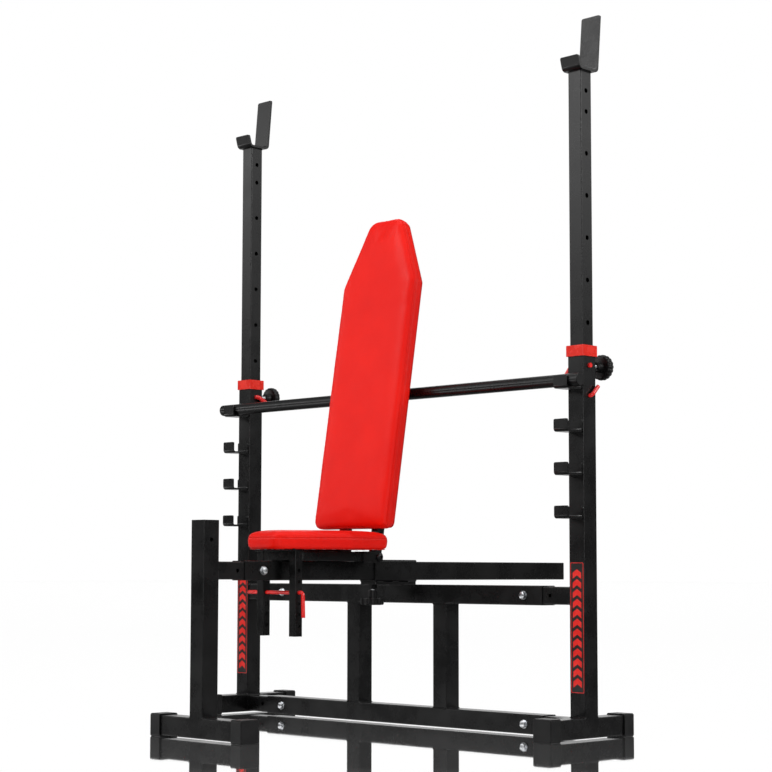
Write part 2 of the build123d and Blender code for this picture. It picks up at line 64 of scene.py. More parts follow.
camera_data = bpy.data.cameras.new("studio_camera")
camera_data.sensor_width = 36.0
camera_data.lens = 36.0 * FOCAL_PX / IMAGE_SIDE
camera_data.shift_x = (IMAGE_SIDE / 2 - CENTRE_PX[0]) / IMAGE_SIDE
camera_data.shift_y = (CENTRE_PX[1] - IMAGE_SIDE / 2) / IMAGE_SIDE
camera_data.clip_end = 200.0
camera = bpy.data.objects.new("studio_camera", camera_data)
scene.collection.objects.link(camera)
camera.location = CAMERA_AT
turn = Matrix.Rotation(math.radians(CAMERA_YAW), 4, "Z") @ Matrix.Rotation(math.radians(90 + CAMERA_PITCH), 4, "X")
camera.rotation_euler = (turn @ Matrix.Rotation(math.radians(CAMERA_ROLL), 4, "Z")).to_euler()
scene.camera = camera
scene.view_settings.view_transform = "Standard"


def area_light(name, at, aim, size, power):
    """Soft rectangular light at a point, aimed at another."""
    data = bpy.data.lights.new(name, "AREA")
    data.shape = "RECTANGLE"
    data.size, data.size_y = size
    data.energy = power
    light = bpy.data.objects.new(name, data)
    scene.collection.objects.link(light)
    light.location = at
    light.rotation_euler = (Vector(aim) - Vector(at)).to_track_quat("-Z", "Y").to_euler()
    light.visible_camera = False


area_light("key_front", (-1.5, -4.8, 4.4), (0, -0.1, 0.9), (2.0, 2.0), 185)
area_light("key_over_camera", (4.6, -4.4, 3.6), (0, 0, 0.9), (2.4, 2.0), 20)
area_light("fill_right", (5.0, 1.6, 3.4), (0, 0, 0.8), (2.0, 2.0), 150)
area_light("strip_by_camera", (4.9, -4.9, 1.7), (0.3, -0.2, 0.9), (2.4, 2.8), 110)
area_light("softbox_top", (0.2, -0.3, 5.0), (0, 0, 0.4), (4.5, 4.5), 130)
area_light("softbox_back", (-3.6, 4.2, 3.4), (0, 0, 1.0), (3.0, 3.0), 25)

world = bpy.data.worlds.new("studio")
scene.world = world
world.use_nodes = True

# Strengths of the world at the horizon and high up, and of its two side bands.
WORLD_LOW, WORLD_HIGH = 0.05, 0.20
BAND_LEFT, BAND_RIGHT = 3.6, 2.0
# A side band fades in and out between these heights (sine of the elevation), to a faint rest.
BAND_IN, BAND_OUT, BAND_REST = (0.13, 0.24), (0.27, 0.35), 0.08
# The bands and the white wall are lobes about a direction, between two cosines.
LEFT_WAY, RIGHT_WAY, BACK_WAY = (-0.70, -0.71, 0.0), (0.71, 0.70, 0.0), (-0.713, 0.701, 0.0)
SIDE_LOBE, BACK_LOBE = (0.6, 0.92), (0.90, 0.96)


def world_light():
    """White studio wall behind the object; to both sides a dim wall with a soft bright band 7 to 20 degrees up.

    The lower half repeats the upper one, as a polished floor would show it. The camera itself sees plain white.
    """
    tree = world.node_tree

    def node(kind, props=(), **inputs):
        made = tree.nodes.new("ShaderNode" + kind)
        for key, value in props:
            setattr(made, key, value)
        for key, value in inputs.items():
            socket = made.inputs[int(key[1:])]
            if isinstance(value, bpy.types.NodeSocket):
                tree.links.new(value, socket)
            else:
                socket.default_value = value
        return made.outputs["Value"] if "Value" in made.outputs else made.outputs[0]

    def lobe(direction, start, end):
        dot = node("VectorMath", [("operation", "DOT_PRODUCT")], i0=place, i1=direction)
        return step(dot, start, end)

    def step(value, start, end, low=0.0, high=1.0):
        smooth = [("interpolation_type", "SMOOTHSTEP")]
        return node("MapRange", smooth, i0=value, i1=start, i2=end, i3=low, i4=high)

    def math_node(kind, a, b):
        return node("Math", [("operation", kind)], i0=a, i1=b)

    place = tree.nodes.new("ShaderNodeTexCoord").outputs["Generated"]
    split = tree.nodes.new("ShaderNodeSeparateXYZ")
    tree.links.new(place, split.inputs[0])
    height = math_node("ABSOLUTE", split.outputs[2], 0.0)
    band = math_node("MULTIPLY", step(height, *BAND_IN), step(height, *BAND_OUT, 1.0, BAND_REST))
    level = step(height, 0.0, 0.5, WORLD_LOW, WORLD_HIGH)
    for direction, strength in ((LEFT_WAY, BAND_LEFT), (RIGHT_WAY, BAND_RIGHT)):
        share = math_node("MULTIPLY", lobe(direction, *SIDE_LOBE), band)
        level = math_node("ADD", level, math_node("MULTIPLY", share, strength))
    level = math_node("MAXIMUM", level, lobe(BACK_WAY, *BACK_LOBE))
    shown = tree.nodes.new("ShaderNodeLightPath").outputs["Is Camera Ray"]
    tree.links.new(math_node("MAXIMUM", level, shown), tree.nodes["Background"].inputs["Strength"])
    tree.nodes["Background"].inputs["Color"].default_value = (1, 1, 1, 1)


world_light()

bpy.ops.mesh.primitive_plane_add(size=120)
floor = bpy.context.object
floor.name = "floor"
floor.visible_glossy = False

# ---------------------------------------------------------------- materials


class Shader:
    """A procedural material built by small steps on the row frame's own coordinates."""

    def __init__(self, name):
        self.material = bpy.data.materials.new(name)
        self.material.use_nodes = True
        self.tree = self.material.node_tree
        self.surface = self.tree.nodes["Principled BSDF"]
        self.place = self.tree.nodes.new("ShaderNodeTexCoord").outputs["Object"]

    def put(self, socket, value):
        if isinstance(value, bpy.types.NodeSocket):
            self.tree.links.new(value, socket)
        elif hasattr(socket.default_value, "__len__") and not isinstance(value, (tuple, list)):
            socket.default_value = [value] * len(socket.default_value)
        elif hasattr(socket.default_value, "__len__") and len(socket.default_value) == 4 and len(value) == 3:
            socket.default_value = (*value, 1.0)
        else:
            socket.default_value = value

    def node(self, kind, out=0, props=None, **inputs):
        made = self.tree.nodes.new("ShaderNode" + kind)
        for key, value in (props or {}).items():
            setattr(made, key, value)
        for key, value in inputs.items():
            self.put(made.inputs[int(key[1:]) if key[1:].isdigit() else key.replace("_", " ")], value)
        return made.outputs[out]

    def noise(self, scale, detail=3.0, rough=0.5, stretch=None):
        place = self.place
        if stretch:
            place = self.node("Mapping", Vector=place, Scale=stretch)
        return self.node("TexNoise", Vector=place, Scale=scale, Detail=detail, Roughness=rough)

    def cells(self, scale, smooth=None):
        props = {"feature": "SMOOTH_F1" if smooth else "F1"}
        extra = {"Smoothness": smooth} if smooth else {}
        return self.node("TexVoronoi", props=props, Vector=self.place, Scale=scale, **extra)

    def span(self, value, low, high, to_low=0.0, to_high=1.0):
        return self.node("MapRange", i0=value, i1=low, i2=high, i3=to_low, i4=to_high)

    def math(self, kind, a, b=0.0):
        return self.node("Math", props={"operation": kind}, i0=a, i1=b)

    def mix(self, share, a, b):
        made = self.tree.nodes.new("ShaderNodeMix")
        made.data_type = "RGBA"
        self.put(made.inputs[0], share)
        self.put(made.inputs[6], a)
        self.put(made.inputs[7], b)
        return made.outputs[2]

    def bump(self, height, depth, strength=1.0, under=None):
        extra = {"Normal": under} if under else {}
        return self.node("Bump", Height=height, Distance=depth, Strength=strength, **extra)

    def finish(self, **inputs):
        for key, value in inputs.items():
            self.put(self.surface.inputs[key.replace("_", " ")], value)
        return self.material


def powder_coat(name, dark, light, rough=0.25, gloss=0.36):
    """Satin black powder coat: orange peel, faint cloudiness, and lighter specks painted in as sparkle glints."""
    s = Shader(name)
    cloud = s.noise(9.0, 4.0, 0.6)
    fine = s.noise(1900.0, 2.0, 0.6)
    peel = s.noise(520.0, 2.0, 0.45)
    # Painted glint: lighter specks in the base colour stand in for the sparkle of the coat.
    painted_glint = s.span(s.noise(950.0, 1.0, 0.5), 0.70, 0.78)
    colour = s.mix(s.span(cloud, 0.3, 0.7), dark, light)
    colour = s.mix(s.math("MULTIPLY", painted_glint, 0.25), colour, [3.0 * c for c in light])
    roughness = s.math("ADD", s.span(cloud, 0.3, 0.7, rough - 0.05, rough + 0.05), s.math("MULTIPLY", fine, 0.06))
    normal = s.bump(fine, 0.000006, 0.5, s.bump(peel, 0.00004, 0.4))
    return s.finish(Base_Color=colour, Roughness=roughness, Normal=normal, Specular_IOR_Level=gloss)


def moulded(name, dark, light, rough, gloss=0.26):
    """Spark-eroded moulded plastic: fine even grain, slight shine variation and small scuffs."""
    s = Shader(name)
    grain = s.cells(1500.0, smooth=0.4)
    fine = s.noise(2600.0, 2.0, 0.5)
    cloud = s.noise(22.0, 4.0, 0.55)
    scuff = s.span(s.noise(240.0, 2.0, 0.6, stretch=(1.0, 0.12, 1.0)), 0.66, 0.74)
    colour = s.mix(s.span(cloud, 0.35, 0.65), dark, light)
    colour = s.mix(s.math("MULTIPLY", scuff, 0.2), colour, [2.2 * c for c in light])
    roughness = s.math("ADD", s.span(cloud, 0.3, 0.7, rough - 0.05, rough + 0.06), s.math("MULTIPLY", fine, 0.05))
    normal = s.bump(grain, 0.00005, 0.5, s.bump(fine, 0.00002, 0.4))
    return s.finish(Base_Color=colour, Roughness=roughness, Normal=normal, Specular_IOR_Level=gloss)


def plated(name, dark, light, rough):
    """Bright plated steel: drawn lines, mottled passivation and a few dull spots."""
    s = Shader(name)
    lines = s.noise(700.0, 2.0, 0.5, stretch=(1.0, 1.0, 0.08))
    cloud = s.noise(60.0, 4.0, 0.6)
    spots = s.span(s.cells(420.0), 0.05, 0.22, 1.0, 0.0)
    colour = s.mix(s.span(cloud, 0.35, 0.65), dark, light)
    colour = s.mix(s.math("MULTIPLY", spots, 0.25), colour, [0.6 * c for c in dark])
    roughness = s.math("ADD", s.span(cloud, 0.3, 0.7, rough - 0.05, rough + 0.08), s.math("MULTIPLY", lines, 0.08))
    return s.finish(Base_Color=colour, Metallic=1.0, Roughness=roughness, Normal=s.bump(lines, 0.00003, 0.5))


def glossy_red(name, dark, light, rough, ripple):
    """Glossy red plastic or paint: slow ripples, faint flow marks and dust pits."""
    s = Shader(name)
    cloud = s.noise(35.0, 4.0, 0.55)
    wave = s.noise(95.0, 2.0, 0.4)
    pits = s.span(s.cells(900.0), 0.04, 0.16, 0.0, 1.0)
    fine = s.noise(2200.0, 2.0, 0.5)
    colour = s.mix(s.span(cloud, 0.35, 0.65), dark, light)
    roughness = s.math("ADD", s.span(cloud, 0.3, 0.7, rough - 0.04, rough + 0.06), s.math("MULTIPLY", fine, 0.04))
    normal = s.bump(pits, 0.00003, 0.4, s.bump(wave, ripple, 0.5))
    return s.finish(Base_Color=colour, Roughness=roughness, Normal=normal, Specular_IOR_Level=0.42)


def vinyl(name, deep, bright, rough=0.40):
    """PVC-coated upholstery: pebbled grain, fine creases painted darker as shade in their valleys, slow tone changes
    and a soft sheen.
    """
    s = Shader(name)
    pebble = s.cells(1150.0, smooth=0.35)
    crease = s.node("TexVoronoi", props={"feature": "DISTANCE_TO_EDGE"}, Vector=s.place, Scale=620.0)
    valley = s.span(crease, 0.0, 0.12, 1.0, 0.0)
    fine = s.noise(3200.0, 2.0, 0.5)
    cloud = s.noise(6.5, 4.0, 0.55)
    patch = s.noise(38.0, 3.0, 0.5)
    colour = s.mix(s.span(cloud, 0.3, 0.7), deep, bright)
    # Painted shade: the crease valleys are darkened in the base colour.
    colour = s.mix(s.math("MULTIPLY", valley, 0.22), colour, [0.55 * c for c in deep])
    roughness = s.math("ADD", s.span(patch, 0.3, 0.7, rough - 0.04, rough + 0.05), s.math("MULTIPLY", valley, 0.08))
    normal = s.bump(fine, 0.00002, 0.4, s.bump(valley, -0.00005, 0.6, s.bump(pebble, 0.00007, 0.6)))
    s.finish(Base_Color=colour, Roughness=roughness, Normal=normal, Specular_IOR_Level=0.12)
    return s.finish(Sheen_Weight=0.004, Sheen_Roughness=0.4, Sheen_Tint=(1.0, 0.75, 0.7, 1.0))


def thread_material():
    s = Shader("thread_red")
    ply = s.node("TexWave", props={"bands_direction": "DIAGONAL"}, Vector=s.place, Scale=900.0, Distortion=1.0)
    tone = s.noise(120.0, 2.0, 0.5)
    colour = s.mix(s.span(tone, 0.3, 0.7), (0.50, 0.006, 0.004), (0.72, 0.02, 0.012))
    return s.finish(Base_Color=colour, Roughness=0.62, Normal=s.bump(ply, 0.00008, 0.6), Sheen_Weight=0.2)


def board_material():
    s = Shader("board_black_faced")
    fibre = s.noise(420.0, 4.0, 0.6, stretch=(1.0, 0.12, 0.12))
    cloud = s.noise(14.0, 4.0, 0.6)
    colour = s.mix(s.span(fibre, 0.35, 0.7), (0.010, 0.009, 0.009), (0.026, 0.023, 0.021))
    colour = s.mix(s.math("MULTIPLY", s.span(cloud, 0.5, 0.75), 0.3), colour, (0.05, 0.038, 0.028))
    return s.finish(Base_Color=colour, Roughness=s.span(cloud, 0.3, 0.7, 0.55, 0.7), Normal=s.bump(fibre, 0.0001, 0.5))


def film_material(name, dark, light, rough):
    s = Shader(name)
    cloud = s.noise(55.0, 3.0, 0.5)
    print_dots = s.cells(2400.0)
    colour = s.mix(s.span(cloud, 0.35, 0.65), dark, light)
    colour = s.mix(s.math("MULTIPLY", s.span(print_dots, 0.2, 0.5), 0.08), colour, [0.7 * c for c in dark])
    return s.finish(
        Base_Color=colour, Roughness=s.span(cloud, 0.3, 0.7, rough - 0.04, rough + 0.05),
        Normal=s.bump(cloud, 0.00005, 0.4), Specular_IOR_Level=0.4,
    )


FLOOR_MIRROR = 0.985


def floor_material():
    """Pale polished floor: mirrors at a low angle and turns matt white from above."""
    s = Shader("floor_white")
    cloud = s.noise(0.7, 3.0, 0.5)
    colour = s.mix(s.span(cloud, 0.3, 0.7), (0.90, 0.90, 0.90), (0.93, 0.93, 0.93))
    s.finish(Base_Color=colour, Roughness=0.6, Specular_IOR_Level=0.2)
    gloss = s.node("BsdfAnisotropic", Color=(1.0, 1.0, 1.0), Roughness=s.span(cloud, 0.3, 0.7, 0.02, 0.035))
    facing = s.node("LayerWeight", out=1, Blend=0.5)
    share = s.span(facing, 0.72, 0.90, 0.12, FLOOR_MIRROR)
    both = s.node("MixShader", i0=share, i1=s.surface.outputs[0], i2=gloss)
    s.tree.links.new(both, s.tree.nodes["Material Output"].inputs["Surface"])
    return s.material


frame_black = powder_coat("frame_black", (0.0009, 0.0009, 0.0010), (0.0019, 0.0018, 0.0020))
black_plastic = moulded("black_plastic", (0.0014, 0.0014, 0.0016), (0.0030, 0.0029, 0.0031), 0.36)
zinc_steel = plated("zinc_steel", (0.40, 0.41, 0.43), (0.58, 0.59, 0.60), 0.26)
black_steel = plated("black_steel", (0.030, 0.030, 0.032), (0.055, 0.054, 0.055), 0.34)
red_plastic = glossy_red("red_plastic", (0.52, 0.008, 0.0012), (0.60, 0.012, 0.002), 0.24, 0.0002)
red_rod = glossy_red("red_rod", (0.50, 0.010, 0.010), (0.60, 0.016, 0.014), 0.18, 0.0004)
pad_red = vinyl("pad_red", (0.58, 0.0035, 0.0010), (0.66, 0.006, 0.0016))
thread_red = thread_material()
decal_black = film_material("decal_black", (0.004, 0.004, 0.004), (0.007, 0.007, 0.007), 0.34)
decal_red = film_material("decal_red", (0.52, 0.008, 0.004), (0.62, 0.014, 0.008), 0.34)
finish_of = {
    "frame_black": frame_black,
    "black_plastic": black_plastic,
    "zinc_steel": zinc_steel,
    "black_steel": black_steel,
    "red_plastic": red_plastic,
    "red_rod": red_rod,
    "pad_red": pad_red,
    "board": board_material(),
}
for part in frame["record"]["subparts"]:
    mesh = nodes[part["node"]].data
    mesh.materials.clear()
    mesh.materials.append(finish_of[part["material_slot"]])
floor.data.materials.append(floor_material())

# ---------------------------------------------------------------- mesh helpers


class Soup:
    """Collects the verts and faces of many small shapes into one piece."""

    def __init__(self):
        self.verts = []
        self.faces = []

    def add(self, shape, place=None):
        verts, faces = shape
        start = len(self.verts)
        for v in verts:
            self.verts.append(place @ Vector(v) if place else Vector(v))
        self.faces.extend([tuple(start + i for i in face) for face in faces])

    def piece(self, name, material, body, slot, replaced=(), sharp=38.0):
        mesh = bpy.data.meshes.new(name)
        mesh.from_pydata([tuple(v) for v in self.verts], [], self.faces)
        mesh.validate()
        bm = bmesh.new()
        bm.from_mesh(mesh)
        bmesh.ops.recalc_face_normals(bm, faces=bm.faces)
        bm.to_mesh(mesh)
        bm.free()
        mesh.shade_smooth()
        mesh.set_sharp_from_angle(angle=math.radians(sharp))
        mesh.materials.append(material)
        made = bpy.data.objects.new(name, mesh)
        scene.collection.objects.link(made)
        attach(made, body)
        if replaced:
            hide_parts(*replaced)
        return made


def mm(*values):
    return Vector(values) * 0.001


def stand(origin, axis, spin=0.0):
    """Matrix that puts a shape's own z axis along the given axis, at origin (metres)."""
    turn = Vector(axis).to_track_quat("Z", "Y").to_matrix().to_4x4()
    return Matrix.Translation(origin) @ turn @ Matrix.Rotation(spin, 4, "Z")


def rings_to_shape(rings, close_ends=True):
    """Skin over rings that have the same number of points."""
    verts = [p for ring in rings for p in ring]
    count = len(rings[0])
    faces = []
    for i in range(len(rings) - 1):
        for j in range(count):
            k = (j + 1) % count
            faces.append((i * count + j, i * count + k, (i + 1) * count + k, (i + 1) * count + j))
    if close_ends:
        faces.append(tuple(reversed(range(count))))
        faces.append(tuple(range((len(rings) - 1) * count, len(rings) * count)))
    return verts, faces


def hex_radius(angle, inner):
    """Distance from the centre to a hexagon whose flats are at the inner radius."""
    sector = (angle + math.pi / 6) % (math.pi / 3) - math.pi / 6
    return inner / math.cos(sector)


def lathe(profile, sides=48, lobes=0, lobe_depth=0.0):
    """Surface of revolution in millimetres; a profile point is (height, radius, share of the lobes)."""
    rings = []
    for height, radius, *share in profile:
        ring = []
        for j in range(sides):
            a = 2 * math.pi * j / sides
            dent = lobe_depth * (share[0] if share else 0.0) * (0.5 - 0.5 * math.cos(lobes * a)) ** 2
            r = max(radius - dent, 0.02)
            ring.append(mm(r * math.cos(a), r * math.sin(a), height))
        rings.append(ring)
    return rings_to_shape(rings)


def hexagon(flats, height, sides=72, both=False):
    """Hex head or nut with its corners chamfered at the outer end, or at both."""
    inner = flats / 2
    flat_r = inner * 0.95
    angles = [2 * math.pi * j / sides for j in range(sides)]

    def ring(kind, z_of):
        return [mm(kind(a) * math.cos(a), kind(a) * math.sin(a), z_of(a)) for a in angles]

    def drop(a):
        return (hex_radius(a, inner) - flat_r) * 0.55

    def full(a):
        return hex_radius(a, inner)

    low = drop if both else (lambda a: 0.0)
    rings = [ring(lambda a: flat_r, lambda a: 0.0)] if both else []
    rings.append(ring(full, lambda a: low(a)))
    rings.append(ring(full, lambda a: height - drop(a)))
    rings.append(ring(lambda a: flat_r, lambda a: height))
    return rings_to_shape(rings)


def thread(radius, length, pitch=1.5, sides=28, steps=6):
    """Threaded rod from z = 0, with a small lead at its far end."""
    rings = []
    count = int(length / pitch * steps)
    for i in range(count + 1):
        z = length * i / count
        lead = min(1.0, (length - z) / 1.2)
        ring = []
        for j in range(sides):
            phase = (z / pitch - j / sides) % 1.0
            r = radius - 0.62 * abs(2 * phase - 1) - 0.7 * (1 - lead)
            a = 2 * math.pi * j / sides
            ring.append(mm(r * math.cos(a), r * math.sin(a), z))
        rings.append(ring)
    return rings_to_shape(rings)


def tube(points, radius_at, sides=8, closed=False):
    """Round tube along points in metres; radius_at(i) is in millimetres."""
    count = len(points)
    rings = []
    side_dir = None
    for i in range(count):
        ahead = points[(i + 1) % count] if closed or i < count - 1 else points[i]
        behind = points[i - 1] if closed or i > 0 else points[i]
        along = (ahead - behind).normalized()
        if side_dir is None:
            side_dir = along.orthogonal().normalized()
        side_dir = (side_dir - along * side_dir.dot(along)).normalized()
        other = along.cross(side_dir)
        r = radius_at(i) * 0.001
        ring = []
        for j in range(sides):
            a = 2 * math.pi * j / sides
            ring.append(points[i] + (side_dir * math.cos(a) + other * math.sin(a)) * r)
        rings.append(ring)
    verts, faces = rings_to_shape(rings, not closed)
    if closed:
        last = (count - 1) * sides
        shift = min(range(sides), key=lambda k: (rings[0][k] - rings[-1][0]).length)
        for j in range(sides):
            k = (j + 1) % sides
            faces.append((last + j, last + k, (k + shift) % sides, (j + shift) % sides))
    return verts, faces


def capsule(a, b, radius, sides=6):
    """Short rounded rod between two points in metres; the radius is in millimetres."""
    along = (b - a).normalized() * radius * 0.001
    points = [a - along * 0.8, a - along * 0.4, a, b, b + along * 0.4, b + along * 0.8]
    shares = (0.45, 0.85, 1.0, 1.0, 0.85, 0.45)
    return tube(points, lambda i: radius * shares[i], sides)


def resample(points, step, closed):
    """Points along a polyline at an even spacing in metres."""
    line = list(points) + ([points[0]] if closed else [])
    lengths = [(line[i + 1] - line[i]).length for i in range(len(line) - 1)]
    total = sum(lengths)
    count = max(2, round(total / step))
    out = []
    i, gone = 0, 0.0
    for k in range(count if closed else count + 1):
        want = total * k / count
        while i < len(lengths) - 1 and gone + lengths[i] < want:
            gone += lengths[i]
            i += 1
        out.append(line[i].lerp(line[i + 1], (want - gone) / lengths[i] if lengths[i] else 0.0))
    return out


def bead(points, closed=False, radius=2.1):
    """Rippled weld bead along a line in metres."""
    line = resample(points, 0.0013, closed)
    wander = [rng.uniform(-0.12, 0.12) for _ in line]
    cycles = max(1, round(len(line) * 1.3 / 3.6))

    def radius_at(i):
        phase = (i * cycles / len(line)) % 1.0
        end = 1.0 if closed else min(1.0, (min(i, len(line) - 1 - i) + 1.5) / 3.0)
        return (radius * (0.86 + 0.2 * math.sin(math.pi * phase)) + wander[i]) * end

    return tube(line, radius_at, 8, closed)


def square_loop(centre, axis_u, axis_v, half_u, half_v, corner=2.5):
    """Rounded rectangle in metres about a centre given in metres; the rest is in millimetres."""
    u, v = Vector(axis_u), Vector(axis_v)
    out = []
    for k, (su, sv) in enumerate(((1, 1), (-1, 1), (-1, -1), (1, -1))):
        cu, cv = su * (half_u - corner), sv * (half_v - corner)
        for step in range(5):
            a = math.pi / 2 * (k + step / 4)
            out.append(centre + (u * (cu + corner * math.cos(a)) + v * (cv + corner * math.sin(a))) * 0.001)
    return out


rng = random.Random(11)
X, Y, Z = Vector((1, 0, 0)), Vector((0, 1, 0)), Vector((0, 0, 1))
joint_at = {j["name"]: j.get("pos_m") for j in frame["record"]["behaviour"]["joints"]}


def box_mm(node):
    """Lowest and highest corners of a CAD node, in millimetres."""
    low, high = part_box(node)
    return [1000 * c for c in low], [1000 * c for c in high]


post_low, post_high = box_mm("post_right")
post_x = (post_low[0] + post_high[0]) / 2
post_y = (post_low[1] + post_high[1]) / 2
post_half = (post_high[0] - post_low[0]) / 2
post_front = post_low[1]
foot_top = box_mm("foot_tube_right")[1][2]
mid_low, mid_high = box_mm("middle_crossbar")
mid_z = (mid_low[2] + mid_high[2]) / 2
foot_z = (box_mm("lower_crossbar")[0][2] + box_mm("lower_crossbar")[1][2]) / 2
front_low, front_high = box_mm("front_post")
front_y = (front_low[1] + front_high[1]) / 2
beam_low, beam_high = box_mm("bench_beam")
beam_z = (beam_low[2] + beam_high[2]) / 2
pivot = Vector(joint_at["backrest_swing"])
pivot_y, pivot_z = pivot[1] * 1000, pivot[2] * 1000
leg_low, leg_high = box_mm("seat_legs")
rail_high = box_mm("seat_rails")[1]
RAIL_Z, RAIL_HALF = 455.5, 12.5
rail_x = rail_high[0] - RAIL_HALF
seat_low, seat_high = box_mm("seat_pad")

BACK_LEAN = math.radians(9.3)
BACK_UP = Vector((0, math.sin(BACK_LEAN), math.cos(BACK_LEAN)))
BACK_OUT = Vector((0, -math.cos(BACK_LEAN), math.sin(BACK_LEAN)))
BACK_TUBE_DEPTH = 25.0
BACK_CROSS_U = (95.0, 420.0, 745.0)
SEAT_FLAT_Y = (-250.0, -415.5)
SCREW_X = (-28.0, 28.0)
SEAT_FLAT_Z = 468.0
PAD_BOTTOM_U, PAD_TOP_U = 72.0, 938.0


def back_at(x, u, n):
    """Point in the backrest's own leaning frame, in metres from millimetres."""
    return pivot + X * (x * 0.001) + BACK_UP * (u * 0.001) + BACK_OUT * (n * 0.001)


def frame_matrix(origin, x_axis, y_axis, z_axis):
    turn = Matrix((x_axis, y_axis, z_axis)).transposed().to_4x4()
    return Matrix.Translation(origin) @ turn


seat_place = frame_matrix(mm(0, seat_high[1], seat_low[2]), -X, -Y, Z)
back_place = frame_matrix(back_at(0, PAD_BOTTOM_U, BACK_TUBE_DEPTH / 2), X, BACK_UP, BACK_OUT)

# ---------------------------------------------------------------- rounded edges of the plate parts

EDGED = ("hook_left", "hook_right", "catches_left", "catches_right", "seat_lugs", "seat_flats", "back_tubes")
for name in EDGED:
    weld = nodes[name].modifiers.new("weld", "WELD")
    weld.merge_threshold = 0.00002
    edge = nodes[name].modifiers.new("edge", "BEVEL")
    edge.width = 0.0007
    edge.segments = 2
    edge.angle_limit = math.radians(40)
    edge.harden_normals = True

# ---------------------------------------------------------------- welds

welds = {body: Soup() for body in ("frame", "bench", "seat", "backrest", "upright_left", "upright_right")}


def ring_weld(body, centre, axis_u, axis_v, half_u, half_v, radius=2.1):
    welds[body].add(bead(square_loop(centre, axis_u, axis_v, half_u, half_v), True, radius))


def line_weld(body, a, b, radius=2.1):
    welds[body].add(bead([a, b], False, radius))


stub_half = 22.5
catch_low, catch_high = box_mm("catches_right")
catch_half = (catch_high[0] - catch_low[0]) / 2
CATCH_HEIGHT, CATCH_PITCH = 32.0, 108.7
catch_starts = [catch_high[2] - CATCH_HEIGHT - k * CATCH_PITCH for k in range(4)]
CLAMP_Z, BOSS_RADIUS = 938.5, 12.3
for side in (-1, 1):
    ring_weld("frame", mm(side * post_x, post_y, foot_top), X, Y, post_half, post_half)
    for z in (foot_z, mid_z):
        ring_weld("frame", mm(side * (post_x - post_half), post_y, z), Y, Z, stub_half, stub_half)
    leg_x = side * (box_mm("centre_legs")[1][0] - post_half)
    for z in (foot_top, mid_low[2]):
        ring_weld("frame", mm(leg_x, post_y, z), X, Y, post_half, post_half)
    for bottom in catch_starts:
        for edge_x in (-catch_half, catch_half):
            x = side * post_x + edge_x
            line_weld("frame", mm(x, post_front, bottom + 3), mm(x, post_front, bottom + 29), 1.8)
    boss = [
        mm(side * post_x + BOSS_RADIUS * math.cos(a), 2 * post_y - post_front, CLAMP_Z + BOSS_RADIUS * math.sin(a))
        for a in [2 * math.pi * k / 40 for k in range(40)]
    ]
    welds["frame"].add(bead(boss, True, 1.8))
    body = "upright_right" if side > 0 else "upright_left"
    ring_weld(body, mm(side * post_x, post_y, box_mm("inner_upright_right")[1][2]), X, Y, 21.0, 21.0, 1.9)
    line_weld("frame", mm(side * 30, post_front + 3, mid_high[2]), mm(side * 30, post_front + 46, mid_high[2]))
    for y in (-80.0, -20.0, 40.0):
        line_weld("frame", mm(side * 29.6, y - 12, 388.0), mm(side * 29.6, y + 12, 388.0), 1.7)
    y, z = pivot_y + side * 6.5, beam_high[2] + 1
    line_weld("bench", mm(-24, y, z), mm(24, y, z))
    leg_y = (leg_low[1] + leg_high[1]) / 2
    ring_weld("seat", mm(side * rail_x, leg_high[1], RAIL_Z), X, Z, RAIL_HALF, RAIL_HALF, 1.6)
    ring_weld("seat", mm(side * (rail_x - RAIL_HALF), leg_y, RAIL_Z), Y, Z, RAIL_HALF, RAIL_HALF, 1.6)
    for y in SEAT_FLAT_Y:
        x = side * (rail_x - RAIL_HALF)
        line_weld("seat", mm(x, y - 14, SEAT_FLAT_Z), mm(x, y + 14, SEAT_FLAT_Z), 1.5)
    for x in (rail_x + 17.6, rail_x - 17.6):
        for z in (pivot_z - 13.0, pivot_z + 13.0):
            line_weld("seat", mm(side * x, rail_high[1] - 30, z), mm(side * x, rail_high[1] - 3, z), 1.3)
    for u in BACK_CROSS_U:
        ring_weld("backrest", back_at(side * (rail_x - 12.0), u, 4.75), BACK_UP, BACK_OUT, 12.5, 7.75, 1.6)
line_weld("frame", mm(-27, post_front, mid_high[2] - 0.5), mm(27, post_front, mid_high[2] - 0.5))
ring_weld("bench", mm(0, front_y, foot_top), X, Y, post_half, post_half)
ring_weld("bench", mm(0, front_high[1], beam_z), X, Z, stub_half, stub_half)
for body, soup in welds.items():
    soup.piece("welds_" + body, frame_black, body, "frame_black")

# ---------------------------------------------------------------- bolts, screws and knobs


def hex_bolt(soup, origin, axis, grip):
    """Hex bolt through a tube: head and washer on the near face, washer, nut and thread on the far one."""
    axis = Vector(axis)
    washer = lathe([(0, 5.1), (0, 11.2), (0.35, 11.5), (1.6, 11.5), (2.0, 11.1), (2.0, 5.1)], 48)
    spin = rng.uniform(0, math.pi / 3)
    soup.add(washer, stand(origin - axis * 0.002, axis))
    soup.add(hexagon(16.5, 6.0), stand(origin - axis * 0.002, -axis, spin))
    far = origin + axis * grip * 0.001
    soup.add(washer, stand(far, axis))
    soup.add(hexagon(16.5, 8.0, both=True), stand(far + axis * 0.002, axis, rng.uniform(0, math.pi / 3)))
    soup.add(thread(5.0, 13.0), stand(far, axis))


bolt_high = box_mm("crossbar_bolts")[1]
bolts = Soup()
for z in (foot_z, mid_z):
    for side in (-1, 1):
        hex_bolt(bolts, mm(side * (bolt_high[0] - 11.5), mid_low[1], z), Y, mid_high[1] - mid_low[1])
bolts.piece("crossbar_hex_bolts", zinc_steel, "frame", "zinc_steel", ("crossbar_bolts",))

front_bolt_low, front_bolt_high = box_mm("front_bolt")
bolts = Soup()
hex_bolt(bolts, mm(beam_high[0], (front_bolt_low[1] + front_bolt_high[1]) / 2, beam_z), -X, 2 * beam_high[0])
bolts.piece("front_hex_bolt", zinc_steel, "bench", "zinc_steel", ("front_bolt",))

